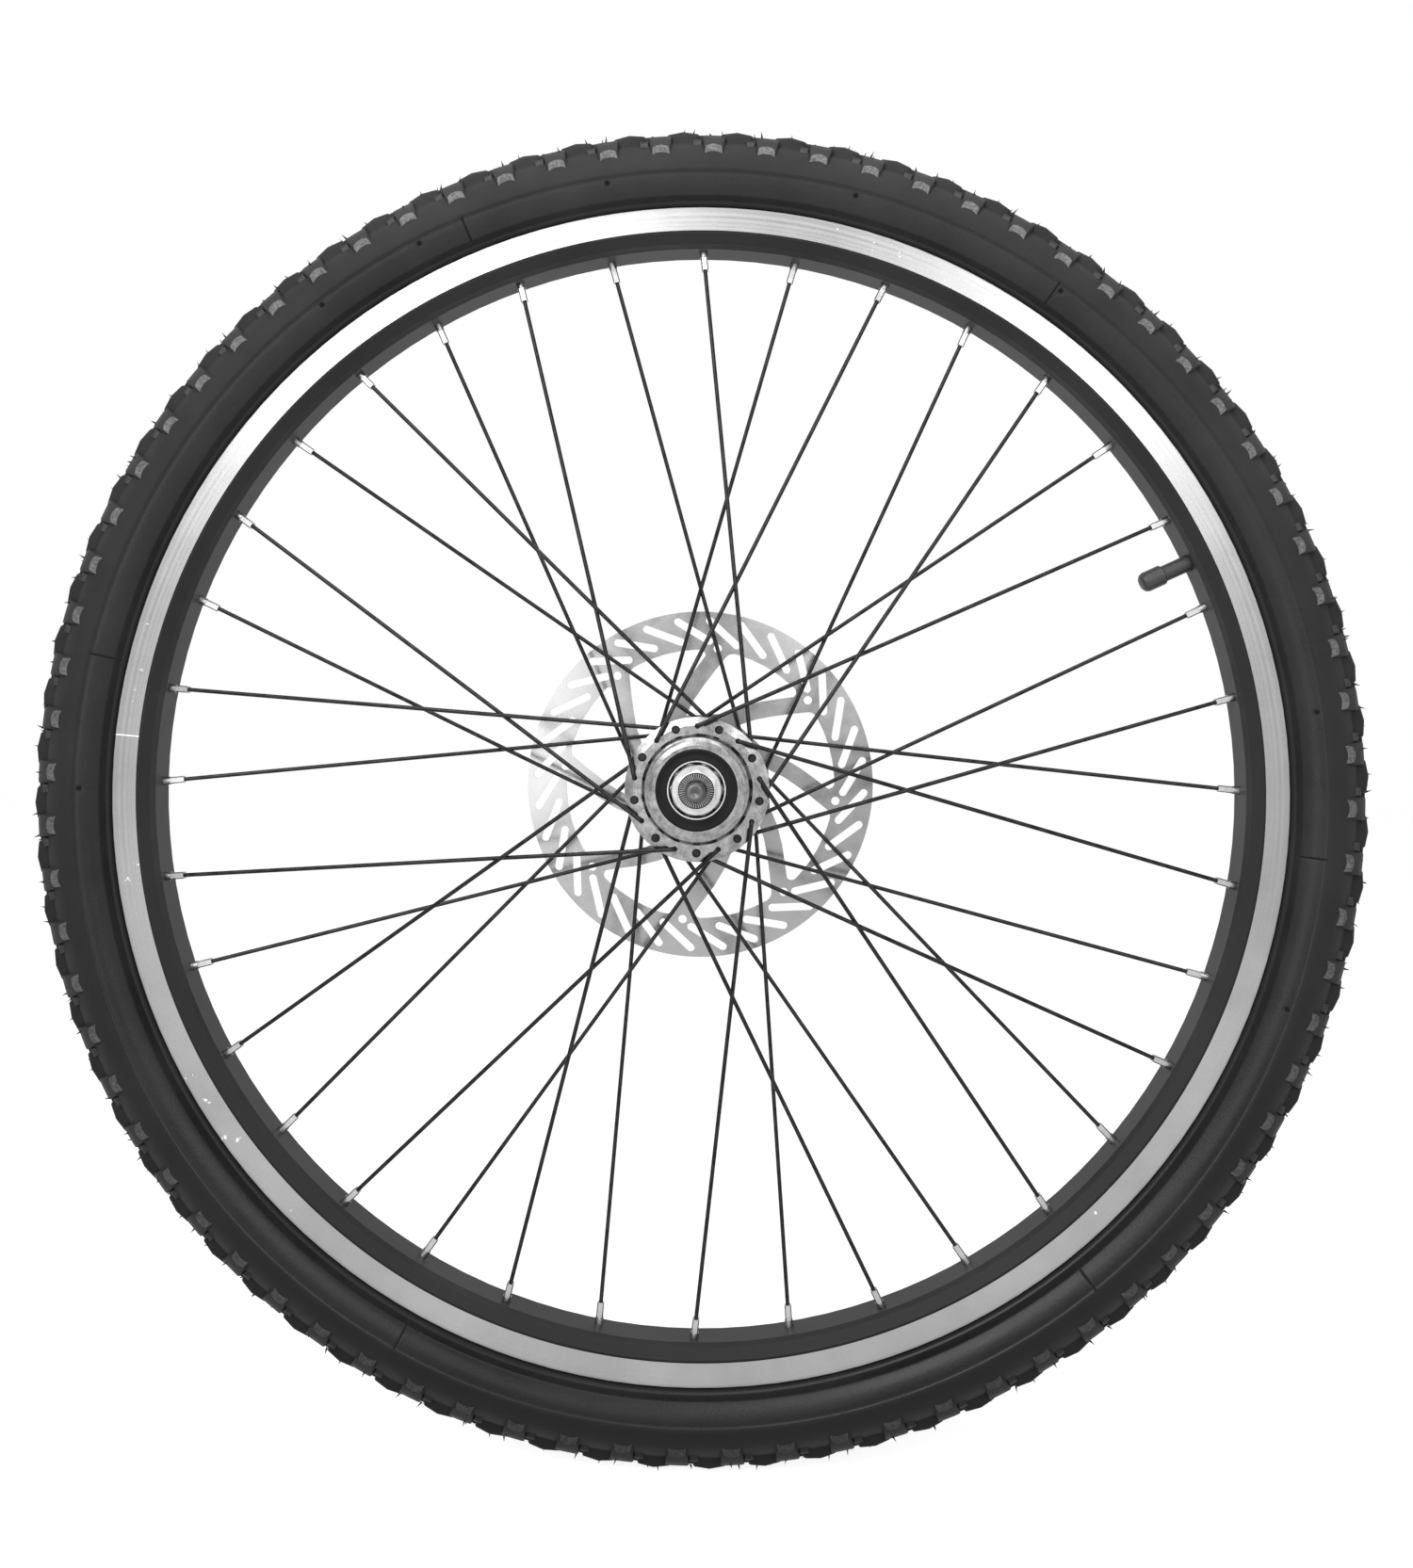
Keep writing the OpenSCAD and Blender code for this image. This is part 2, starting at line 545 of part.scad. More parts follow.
module bearing_cup(s) color(bright_metal) on_side(s) difference() {
    turned() polygon([[shell_bore_r + 0.4, cup_floor], [cup_r, cup_floor], [cup_r, shell_end + 0.3],
        [cup_r - lip_t, shell_end + 0.3], [cup_r - lip_t, ball_y + 2.2], [ball_circle_r + 2.6, ball_y + 0.4],
        [ball_circle_r + 0.4, ball_y - 2.2], [shell_bore_r + 0.4, ball_y - 2.6]]);
    turned() translate([ball_circle_r, ball_y]) circle(r = race_r);
}

module cone(s) color(bright_metal) on_side(s) difference() {
    turned() polygon([[grip_r, ball_y - 4.2], [axle_d / 2 + 0.8, ball_y - 4.2],
        [axle_d / 2 + 1.1, ball_y - 2.2], [ball_circle_r - 1.6, ball_y + 0.6],
        [ball_circle_r + 0.4, ball_y + 2.6], [ball_circle_r + 0.4, washer_in], [grip_r, washer_in]]);
    turned() translate([ball_circle_r, ball_y]) circle(r = race_r);
}

module balls_of(s) color(bright_metal) on_side(s) for (k = [0:balls - 1])
    around(k * 360 / balls) translate([ball_circle_r, ball_y, 0]) sphere(r = ball_r);

module dust_seal(s, r) color(black_plastic) on_side(s) turned()
    polygon([[cup_r, shell_end - seal_t], [r, shell_end - seal_t], [r, shell_end - 0.4],
        [r - 0.8, shell_end], [(r + cup_r) / 2, shell_end - 0.5], [cup_r + 0.6, shell_end - 0.4],
        [cup_r, shell_end - 0.6]]);

// Axle, washers and locknuts

axle_half = [[grip_r, grip_end], [axle_d / 2, grip_end], [axle_d / 2, axle_l / 2 - axle_chamfer],
    [axle_d / 2 - axle_chamfer, axle_l / 2], [0, axle_l / 2]];

module axle() color(dark_steel) difference() {
    turned() polygon(concat([for (i = [len(axle_half) - 1:-1:0]) [axle_half[i].x, -axle_half[i].y]],
        axle_half));
    for (s = [-1, 1]) on_side(s) turned()
        polygon([[0, axle_l / 2 - 2], [1.9, axle_l / 2 + 0.3], [0, axle_l / 2 + 0.3]]);
}

module axle_washers() color(bright_metal) for (s = [-1, 1]) on_side(s) difference() {
    turned() polygon([[grip_r, washer_in], [washer_r - 0.4, washer_in], [washer_r, washer_in + 0.4],
        [washer_r, nut_in - 0.4], [washer_r - 0.4, nut_in], [grip_r, nut_in]]);
}

module locknuts() color(dark_steel) for (s = [-1, 1]) on_side(s) difference() {
    intersection() {
        translate([0, nut_in, 0]) rotate([-90, 30, 0])
            cylinder(d = nut_af / cos(30), h = nut_t, $fn = 6);
        turned() polygon([[0, nut_in - 1], [nut_af / 2 + 2, nut_in - 1],
            [nut_af / 2 + 2, nut_in + nut_t - 0.9], [nut_af / 2 - 0.1, nut_in + nut_t], [0, nut_in + nut_t]]);
    }
    bar_y(grip_r, nut_in - 1, nut_in + nut_t + 1);
    for (k = [0:serrations - 1]) around((k + 0.5) * 360 / serrations)
        translate([axle_d / 2 - 0.2, nut_in + nut_t - serration_h, -0.22]) cube([3, 1, 0.44]);
}

// Brake rotor

function root_angle(k) = root_hole_angle + k * 360 / arms;

// A corner of an outline, rounded with radius r
function corner(a, b, c, r) = let (u = (a - b) / norm(a - b), v = (c - b) / norm(c - b),
        half = acos(u * v) / 2, m = b + (u + v) / norm(u + v) * r / sin(half),
        from = atan2((b + u * r / tan(half) - m).y, (b + u * r / tan(half) - m).x),
        to = atan2((b + v * r / tan(half) - m).y, (b + v * r / tan(half) - m).x),
        turn = to - from > 180 ? to - from - 360 : to - from < -180 ? to - from + 360 : to - from)
    [for (i = [0:5]) m + polar(r, from + turn * i / 5)];

// The edge of an arm: it runs from the carrier to the brake band, and sweeps clockwise outwards
arm_sweep = 34;
arm_bow = 1.5;
function arm_mid(a, t) = let (r = carrier_r + (ring_in - carrier_r) * t)
    polar(r, a + arm_sweep * pow(1 - t, arm_bow));
function arm_edge(a, t, o) = let (d = arm_mid(a, t + 0.01) - arm_mid(a, t - 0.01))
    arm_mid(a, t) + o * arm_w / 2 * [-d.y, d.x] / norm(d);

// The window between the arm at angle a and the next one, anticlockwise
function window(a, b) = let (
        near_arm = [for (t = [0.12, 0.3, 0.5, 0.7, 0.86]) arm_edge(a, t, 1)],
        far_arm = [for (t = [0.8, 0.6, 0.4, 0.2]) arm_edge(b, t, -1)],
        band = [for (t = [0.12, 0.3, 0.5, 0.7, 0.84]) polar(ring_in, a + 6.4 + (b - a - 12) * t)],
        first = polar(ring_in + 0.2, a + 5), last = polar(ring_in + 0.2, b - 5.4))
    concat(near_arm, corner(near_arm[4], first, band[0], 3), band,
        corner(band[4], last, far_arm[0], 5), far_arm);

module brake_rotor() color(bright_metal) difference() {
    bar_y(rotor_r, rotor_y, rotor_out);
    bar_y(spigot_r + 0.1, rotor_y - 1, rotor_out + 1);
    for (k = [0:BOLTS - 1]) around(bolt_angle(k)) translate([bolt_circle_r, 0, 0])
        bar_y(bolt_d / 2 + 0.2, rotor_y - 1, rotor_out + 1);
    for (k = [0:arms - 1]) {
        around(root_angle(k)) translate([ring_in + root_hole_d / 4, 0, 0])
            bar_y(root_hole_d / 2, rotor_y - 1, rotor_out + 1);
        translate([0, rotor_out + 1, 0]) rotate([90, 0, 0]) linear_extrude(rotor_t + 2)
            polygon(window(root_angle(k), root_angle(k + 1)));
        for (j = [0:arm_slots - 1]) slot(root_angle(k) + (j + 0.36) * 360 / arms / arm_slots);
    }
}

// A slot with round ends, from its outer end at angle a to its inner end
module slot(a) {
    outer = polar(rotor_r - slot_edge - slot_w / 2, a);
    inner = polar(ring_in + slot_edge + slot_w / 2, a - slot_sweep);
    run = outer - inner;
    translate([inner.x, 0, inner.y]) around(atan2(run.y, run.x)) {
        bar_y(slot_w / 2, rotor_y - 1, rotor_out + 1);
        translate([norm(run), 0, 0]) bar_y(slot_w / 2, rotor_y - 1, rotor_out + 1);
        translate([0, rotor_y - 1, -slot_w / 2]) cube([norm(run), rotor_t + 2, slot_w]);
    }
}

module rotor_bolts() color(dark_steel) for (k = [0:BOLTS - 1]) around(bolt_angle(k))
    translate([bolt_circle_r, 0, 0]) difference() {
        union() {
            bar_y(bolt_d / 2, rotor_out - bolt_l, rotor_out);
            turned() polygon([[0, rotor_out], [bolt_head_d / 2, rotor_out],
                [bolt_head_d / 2, rotor_out + bolt_head_h * 0.45],
                [bolt_head_d / 2 - 1, rotor_out + bolt_head_h * 0.85],
                [bolt_head_d / 2 - 1.8, rotor_out + bolt_head_h], [0, rotor_out + bolt_head_h]]);
        }
        translate([0, rotor_out + bolt_head_h, 0]) rotate([90, 0, 0]) cylinder(d = 4.2, h = 1.6, $fn = 6);
    }

tyre();
inner_tube();
valve_stem();
valve_core();
valve_pin();
valve_cap();
rim();
rim_tape();
nipples();
hub_shell();
bearing_cup(-1);  // bearing_cup_right
bearing_cup(1);  // bearing_cup_left
balls_of(-1);  // balls_right
balls_of(1);  // balls_left
dust_seal(-1, seal_right_r);  // dust_seal_right
dust_seal(1, seal_left_r);  // dust_seal_left
cone(-1);  // cone_right
cone(1);  // cone_left
axle();
axle_washers();
locknuts();
brake_rotor();
rotor_bolts();
for (i = [0:SPOKES - 1]) spoke(i);
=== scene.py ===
"""Bicycle front wheel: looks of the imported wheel, seen from its right-hand side.

Metres in every mesh; sizes in the functions below are written in millimetres and scaled by MM.
Y is the axle, X points forwards and Z is up. Angles run from +X towards +Z.
"""

import math

import bpy
import numpy as np
from mathutils import Matrix, Vector


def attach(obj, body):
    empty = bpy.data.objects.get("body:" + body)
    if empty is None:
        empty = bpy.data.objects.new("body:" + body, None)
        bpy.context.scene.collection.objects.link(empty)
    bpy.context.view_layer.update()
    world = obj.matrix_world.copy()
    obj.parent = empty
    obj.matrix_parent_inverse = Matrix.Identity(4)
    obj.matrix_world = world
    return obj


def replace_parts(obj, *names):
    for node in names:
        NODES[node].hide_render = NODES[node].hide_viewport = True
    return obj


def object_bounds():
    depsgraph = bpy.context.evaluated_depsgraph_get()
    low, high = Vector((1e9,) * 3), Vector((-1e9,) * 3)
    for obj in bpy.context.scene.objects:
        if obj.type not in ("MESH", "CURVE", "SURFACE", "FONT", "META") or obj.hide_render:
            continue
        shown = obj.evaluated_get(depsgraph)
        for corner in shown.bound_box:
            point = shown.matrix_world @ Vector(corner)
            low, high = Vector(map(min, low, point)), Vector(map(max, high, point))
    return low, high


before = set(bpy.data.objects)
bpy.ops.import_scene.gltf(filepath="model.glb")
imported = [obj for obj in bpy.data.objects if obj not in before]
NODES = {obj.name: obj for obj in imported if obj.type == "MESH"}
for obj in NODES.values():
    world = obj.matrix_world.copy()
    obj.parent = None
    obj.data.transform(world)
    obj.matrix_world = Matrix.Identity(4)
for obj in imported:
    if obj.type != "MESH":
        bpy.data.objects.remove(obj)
CAD_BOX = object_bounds()
bpy.context.scene.view_settings.view_transform = "Standard"
MM = 0.001
TAU = 2 * math.pi

# Strength of the world's light and of the floor's own white, as the camera sees it
WORLD_LIGHT, FLOOR_GLOW = 0.2, 0.85

# Sizes shared with the wheel's solids, in millimetres: one block of each row to a pitch
PITCHES = 76
PITCH = TAU / PITCHES
TREAD_PHASE = math.radians(25 + 101.5)
CASING_R, CASING_H, CASING_W = 301.0, 20.0, 25.0
TREAD_H, TREAD_W = 24.5, 25.7

# Places on the side wall, in degrees: thin lines where parts of the mould meet, and small dimples
MOULD_LINES = (113.0, 54.8, -6.0, -51.0, 168.0, -118.0)
DIMPLES = (128.4, 117.6, 99.0, 75.5, 54.3, 180.5, 7.5, -20.0)

# Where the side wall starts, as an angle of its ellipse in degrees
STEP_AT = -5.0

# Lines and dimples of the wall, in mm: their depth, the radius they are measured at and the grid's step
DIP, WALL_R, MARK_STEP = 0.35, 295, 0.5

# The rows' places drift a little round the wheel: mean and swing in degrees, and where it is largest
DRIFT, SWING, SWING_AT = 0.28, 0.24, math.radians(135)

# Cuts in the end face of a locknut
SERRATIONS = 44

# Limits of the finishes, in metres from the axle's centre line or from the middle plane
WALL_FROM, WALL_TO = 0.2868, 0.2990
TRACK_FROM, TRACK_OUT = 0.27402, 0.0118
BED_TO = 0.2682
NUT_FACE_OUT, CUTS_FROM, CUTS_TO, NUT_RING_FROM = 0.0494, 0.0050, 0.0078, 0.0083
SEAM = math.radians(175.3)
SEAM_HALF = 0.0011
# Height over which the painted shade runs from the wheel's bottom to its top
WHEEL_HEIGHT = 0.64


# Surfaces


def mesh_piece(name, points, faces, body, material, smooth=True, **face_values):
    """Puts computed points (n, 3) in mm and faces (m, 4) or (m, 3) into a mesh that rides on a body."""
    mesh = bpy.data.meshes.new(name)
    faces = np.asarray(faces, np.int32)
    corners = faces.shape[1]
    mesh.vertices.add(len(points))
    mesh.vertices.foreach_set("co", (np.asarray(points, np.float32) * MM).ravel())
    mesh.loops.add(faces.size)
    mesh.loops.foreach_set("vertex_index", faces.ravel())
    mesh.polygons.add(len(faces))
    mesh.polygons.foreach_set("loop_start", np.arange(0, faces.size, corners, dtype=np.int32))
    mesh.polygons.foreach_set("use_smooth", np.full(len(faces), smooth))
    for attribute, values in face_values.items():
        layer = mesh.attributes.new(attribute, "FLOAT", "FACE")
        layer.data.foreach_set("value", np.asarray(values, np.float32))
    mesh.materials.append(material)
    mesh.update(calc_edges=True)
    mesh.validate()
    obj = bpy.data.objects.new(name, mesh)
    bpy.context.scene.collection.objects.link(obj)
    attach(obj, body)
    return obj


def around(r, a, y):
    """Wheel coordinates: x = r cos a, z = r sin a, with y along the axle."""
    r, a, y = np.broadcast_arrays(r, a, y)
    return np.stack([r * np.cos(a), y, r * np.sin(a)], -1)


def sheet_faces(rows, cols, row_wrap=True):
    """Quads of a grid of rows x cols points, closed on itself along its columns, and along its rows
    where row_wrap says so."""
    i = np.arange(rows if row_wrap else rows - 1)
    i, j = np.meshgrid(i, np.arange(cols), indexing="ij")
    k, m = (i + 1) % rows, (j + 1) % cols
    return np.stack([i * cols + j, i * cols + m, k * cols + m, k * cols + j], -1).reshape(-1, 4)


def across(start, n):
    """Quads that close a ring of n points, an even number, which are numbered on from start."""
    i = np.arange(n // 2 - 1)
    return start + np.stack([i, i + 1, n - 2 - i, n - 1 - i], -1)


def smooth_step(x, lo, hi):
    """0 up to lo, 1 from hi on, and t t (3 - 2 t) between them."""
    t = np.clip((x - lo) / (hi - lo), 0, 1)
    return t * t * (3 - 2 * t)


def casing_at(y):
    """Radius of the casing over a place across it: a half ellipse about the widest point."""
    return CASING_R + CASING_H * np.sqrt(np.maximum(0, 1 - (np.asarray(y) / CASING_W) ** 2))


def tread_at(y):
    """Radius of the blocks' tops: a half ellipse 4.5 mm higher than the casing's."""
    return CASING_R + TREAD_H * np.sqrt(np.maximum(0, 1 - (np.asarray(y) / TREAD_W) ** 2))


# Materials


def new_material(name):
    mat = bpy.data.materials.new(name)
    mat.use_nodes = True
    return mat, mat.node_tree.nodes, mat.node_tree.links, mat.node_tree.nodes["Principled BSDF"]


class Shade:
    """Small helper that adds nodes to one material and links them."""

    def __init__(self, name, color, roughness, metallic=0.0, specular=0.5):
        self.mat, self.nodes, self.links, self.bsdf = new_material(name)
        self.bsdf.inputs["Base Color"].default_value = (*color, 1)
        self.bsdf.inputs["Roughness"].default_value = roughness
        self.bsdf.inputs["Metallic"].default_value = metallic
        self.bsdf.inputs["Specular IOR Level"].default_value = specular
        self.coord = self.nodes.new("ShaderNodeTexCoord").outputs["Object"]

    def math(self, op, a, b=None, clamp=False):
        n = self.nodes.new("ShaderNodeMath")
        n.operation = op
        n.use_clamp = clamp
        for k, v in enumerate((a, b)):
            if v is None:
                continue
            if isinstance(v, (int, float)):
                n.inputs[k].default_value = v
            else:
                self.links.new(v, n.inputs[k])
        return n.outputs[0]

    def parts(self):
        n = self.nodes.new("ShaderNodeSeparateXYZ")
        self.links.new(self.coord, n.inputs[0])
        return n.outputs[0], n.outputs[1], n.outputs[2]

    def radius(self):
        """Distance from the axle's centre line, in metres."""
        x, _, z = self.parts()
        squares = self.math("ADD", self.math("MULTIPLY", x, x), self.math("MULTIPLY", z, z))
        return self.math("SQRT", squares)

    def over(self, a, b):
        """1 where a is more than b, otherwise 0."""
        return self.math("GREATER_THAN", a, b)

    def under(self, a, b):
        """1 where a is less than b, otherwise 0."""
        return self.math("LESS_THAN", a, b)

    def both(self, a, b):
        """1 where a and b are 1, otherwise 0."""
        return self.math("MULTIPLY", a, b)

    def rings(self, scale):
        """Fine noise that changes with the radius, and slowly along the axle: a turned surface."""
        y = self.parts()[1]
        return self.noise(scale, 2, 0.6, vector=self.join(self.radius(), self.math("MULTIPLY", y, 0.4), 0))

    def join(self, x, y, z):
        """A vector from three numbers or values."""
        n = self.nodes.new("ShaderNodeCombineXYZ")
        for k, v in enumerate((x, y, z)):
            if isinstance(v, (int, float)):
                n.inputs[k].default_value = v
            else:
                self.links.new(v, n.inputs[k])
        return n.outputs[0]

    def noise(self, scale, detail=3.0, rough=0.5, vector=None):
        n = self.nodes.new("ShaderNodeTexNoise")
        n.inputs["Scale"].default_value = scale
        n.inputs["Detail"].default_value = detail
        n.inputs["Roughness"].default_value = rough
        self.links.new(vector or self.coord, n.inputs["Vector"])
        return n.outputs[0]

    def ramp(self, value, stops):
        """Greys by value, from pairs of a place and a tone."""
        n = self.nodes.new("ShaderNodeValToRGB")
        e = n.color_ramp.elements
        while len(e) < len(stops):
            e.new(0.5)
        for k, (at, c) in enumerate(stops):
            e[k].position = at
            e[k].color = (c, c, c, 1)
        self.links.new(value, n.inputs[0])
        return n.outputs[0]

    def mix(self, factor, a, b):
        n = self.nodes.new("ShaderNodeMix")
        n.data_type = "RGBA"
        if isinstance(factor, (int, float)):
            n.inputs[0].default_value = factor
        else:
            self.links.new(factor, n.inputs[0])
        for socket, v in ((n.inputs[6], a), (n.inputs[7], b)):
            if isinstance(v, (int, float)):
                socket.default_value = (v, v, v, 1)
            else:
                self.links.new(v, socket)
        return n.outputs[2]

    def bump(self, height, strength, distance):
        n = self.nodes.new("ShaderNodeBump")
        n.inputs["Strength"].default_value = strength
        n.inputs["Distance"].default_value = distance
        self.links.new(height, n.inputs["Height"])
        self.links.new(n.outputs[0], self.bsdf.inputs["Normal"])

    def put(self, socket, value):
        self.links.new(value, self.bsdf.inputs[socket])

    def painted_shade_by_height(self, low, high):
        """Painted light and shade: a factor that goes from low at the wheel's bottom to high at its top.
        """
        z = self.parts()[2]
        span = self.math("ADD", self.math("DIVIDE", z, WHEEL_HEIGHT), 0.5, clamp=True)
        return self.math("ADD", self.math("MULTIPLY", span, high - low), low)

    def scaled(self, color, value):
        n = self.nodes.new("ShaderNodeVectorMath")
        n.operation = "SCALE"
        self.links.new(color, n.inputs[0])
        self.links.new(value, n.inputs["Scale"])
        return n.outputs[0]

    def attribute(self, name):
        n = self.nodes.new("ShaderNodeAttribute")
        n.attribute_name = name
        return n.outputs["Fac"]


def tyre_rubber():
    """Black rubber: matt on the tread, smoother on the side wall, and pale where blocks face sideways,
    partly dust and partly a painted highlight. Painted shade makes it darker towards the wheel's lower
    side and lighter at its top."""
    s = Shade("tyre_rubber", (0.02, 0.02, 0.02), 0.6, specular=0.2)
    r = s.radius()
    wall = s.both(s.over(r, WALL_FROM), s.under(r, WALL_TO))
    grain = s.noise(900, 4, 0.6)
    cloud = s.noise(22, 4, 0.6)
    dark = s.ramp(cloud, [(0.3, 0.011), (0.7, 0.020)])
    side = s.ramp(cloud, [(0.3, 0.012), (0.7, 0.022)])
    base = s.mix(wall, dark, side)
    pale = s.ramp(grain, [(0.3, 0.05), (0.7, 0.17)])
    # Pale outer faces of the blocks: partly dust, partly a painted highlight of the light from above
    dust_sheen_and_shade = s.mix(s.attribute("dust"), base, pale)
    # Painted shade: the colour darker towards the wheel's bottom and lighter towards its top
    dust_sheen_and_shade = s.scaled(dust_sheen_and_shade, s.painted_shade_by_height(0.3, 1.7))
    s.put("Base Color", s.mix(s.attribute("mould_line"), dust_sheen_and_shade, 0.006))
    gloss = s.mix(wall, 0.66, s.ramp(cloud, [(0.3, 0.22), (0.7, 0.34)]))
    s.put("Roughness", s.mix(s.attribute("mould_line"), gloss, 0.95))
    s.bump(grain, 0.3, 0.0003)
    return s.mat


def plain_rubber(name, tone, roughness):
    """Smooth black rubber with a fine grain."""
    s = Shade(name, (tone, tone, tone), roughness)
    grain = s.noise(700, 3, 0.5)
    s.put("Base Color", s.ramp(grain, [(0.3, tone * 0.85), (0.7, tone * 1.2)]))
    s.bump(grain, 0.25, 0.0002)
    return s.mat


def rim_metal():
    """Machined silver brake tracks on a black body: the tracks are what lies far out and on the sides.
    The black body has painted shade, darker towards the wheel's bottom and lighter at its top.
    """
    s = Shade("rim_metal", (0.5, 0.5, 0.5), 0.25, 1.0, specular=0.18)
    x, y, z = s.parts()
    r = s.radius()
    track = s.both(s.over(r, TRACK_FROM), s.over(s.math("ABSOLUTE", y), TRACK_OUT))
    lines = s.noise(6000, 2, 0.6, vector=s.join(r, 0, 0))
    broad = s.noise(700, 2, 0.5, vector=s.join(r, 0, 0))
    smears = s.noise(14, 4, 0.65)
    scuffs = s.both(s.over(s.noise(160, 5, 0.7), 0.66), s.over(s.noise(9, 1, 0.5), 0.6))
    lined = s.ramp(lines, [(0.25, 0.25), (0.75, 0.4)])
    smeared = s.ramp(smears, [(0.3, 0.26), (0.7, 0.42)])
    silver = s.mix(scuffs, s.mix(0.5, lined, smeared), 0.95)
    turn = s.math("ARCTAN2", z, x)
    seam = s.under(s.math("ABSOLUTE", s.math("SUBTRACT", turn, SEAM)), SEAM_HALF)
    silver = s.mix(seam, silver, 0.98)
    flanks = s.ramp(smears, [(0.3, 0.010), (0.7, 0.018)])
    bed = s.ramp(smears, [(0.3, 0.03), (0.7, 0.06)])
    black = s.mix(s.under(r, BED_TO), flanks, bed)
    # Painted shade: the black body darker towards the wheel's bottom, lighter at its top
    black = s.scaled(black, s.painted_shade_by_height(0.4, 1.3))
    s.put("Base Color", s.mix(track, black, silver))
    s.put("Metallic", track)
    s.put("Roughness", s.mix(track, 0.42, s.ramp(broad, [(0.3, 0.2), (0.7, 0.34)])))
    s.bump(lines, 0.06, 0.00005)
    return s.mat


def turned_metal(name, tone, roughness, spread=0.1):
    """Metal turned about the axle: fine rings, with a soft cloud of handling marks."""
    s = Shade(name, (tone, tone, tone), roughness, 1.0)
    rings = s.rings(5000)
    marks = s.noise(120, 4, 0.6)
    dark, bright = tone - spread, tone + spread
    ringed = s.ramp(rings, [(0.25, dark), (0.75, bright)])
    marked = s.ramp(marks, [(0.3, dark), (0.7, bright)])
    s.put("Base Color", s.mix(0.5, ringed, marked))
    s.put("Roughness", s.ramp(marks, [(0.25, roughness * 0.8), (0.75, roughness * 1.3)]))
    s.bump(rings, 0.05, 0.00005)
    return s.mat


def cast_metal(name, tone, roughness):
    """Smooth shell metal: turned rings, with blotches of handling and fine pits over them."""
    s = Shade(name, (tone, tone, tone), roughness, 1.0)
    rings = s.ramp(s.rings(2500), [(0.25, tone * 0.6), (0.75, tone * 1.5)])
    blotches = s.ramp(s.noise(260, 5, 0.7), [(0.36, tone * 0.5), (0.5, tone), (0.66, tone * 1.5)])
    s.put("Base Color", s.mix(0.3, blotches, rings))
    s.put("Roughness", s.ramp(s.noise(120, 4, 0.6), [(0.25, roughness * 0.7), (0.75, roughness * 1.5)]))
    s.bump(s.noise(900, 3, 0.6), 0.12, 0.0001)
    return s.mat


def nut_steel(name, tone, roughness):
    """Dark nut steel with a bright outer ring. Its serrated end faces have bright ridges between the
    cuts, partly polished crests and partly a painted glint of the fine cuts: ridge where the part of
    (angle x cuts / turn) past a whole number is near 0 or 1."""
    s = Shade(name, (tone, tone, tone), roughness, 1.0)
    x, y, z = s.parts()
    r = s.radius()
    turn = s.math("MULTIPLY", s.math("ARCTAN2", z, x), SERRATIONS / TAU)
    between = s.math("ABSOLUTE", s.math("SUBTRACT", s.math("FRACT", turn), 0.5))
    ridge = s.over(between, 0.36)
    ring = s.both(s.over(r, CUTS_FROM), s.under(r, CUTS_TO))
    face = s.both(s.over(s.math("ABSOLUTE", y), NUT_FACE_OUT), ring)
    marks = s.noise(400, 3, 0.6)
    dark = s.ramp(marks, [(0.3, tone * 0.6), (0.7, tone * 1.4)])
    bright = s.ramp(marks, [(0.3, 0.3), (0.7, 0.5)])
    # Painted glint: the ridges between the cuts are lighter, partly polished crests
    cut = s.mix(s.both(ridge, face), dark, bright)
    s.put("Base Color", s.mix(s.over(r, NUT_RING_FROM), cut, 0.5))
    s.bump(marks, 0.1, 0.0001)
    return s.mat


def wire_steel():
    """Dark drawn wire with uneven marks."""
    s = Shade("spoke_steel", (0.06, 0.06, 0.065), 0.3, 0.85)
    marks = s.noise(240, 3, 0.6)
    s.put("Base Color", s.ramp(marks, [(0.3, 0.010), (0.7, 0.032)]))
    s.put("Roughness", s.ramp(marks, [(0.3, 0.22), (0.7, 0.4)]))
    return s.mat


def plain_plastic(name, tone, roughness, specular=0.5):
    """Moulded plastic: a soft cloud of tone over a fine grain."""
    s = Shade(name, (tone, tone, tone), roughness, specular=specular)
    cloud = s.noise(90, 3, 0.5)
    grain = s.noise(1500, 2, 0.5)
    s.put("Base Color", s.ramp(cloud, [(0.3, tone * 0.8), (0.7, tone * 1.3)]))
    s.bump(grain, 0.15, 0.0001)
    return s.mat


# Tyre


def tyre_section():
    """Points (radius, y) of the tyre's cross-section, from the crown down the left wall, round the
    left bead, back over the inside and so on to the right, as one closed loop."""
    def arc(h, w, a, b, n):
        t = np.radians(np.linspace(a, b, n))
        return np.stack([CASING_R + h * np.sin(t), w * np.cos(t)], -1)

    y = np.array([0, 2, 4, 6, 8, 10, 12, 14, 16, 18, 20, 21.5, 23])
    crown = np.stack([casing_at(y), y], -1)
    shoulder = arc(CASING_H, CASING_W, 18, STEP_AT, 7)
    wall = arc(CASING_H, CASING_W - 0.6, STEP_AT - 1.5, -38, 12)
    bead = np.array([[288.0, 15.6], [287.4, 14.9], [286.8, 14.6], [286.3, 13.9], [286.1, 13.2],
                     [286.1, 11.0], [284.2, 10.3], [282.4, 11.1], [279.8, 11.3], [279.8, 7.6],
                     [281.5, 7.2], [285.5, 8.7], [287.7, 12.7]])
    inside = arc(CASING_H - 2.8, CASING_W - 2.1, -40, 90, 18)
    half = np.concatenate([crown, shoulder, wall, bead, inside])
    other = half[1:-1][::-1] * [1, -1]
    return np.concatenate([half, other])


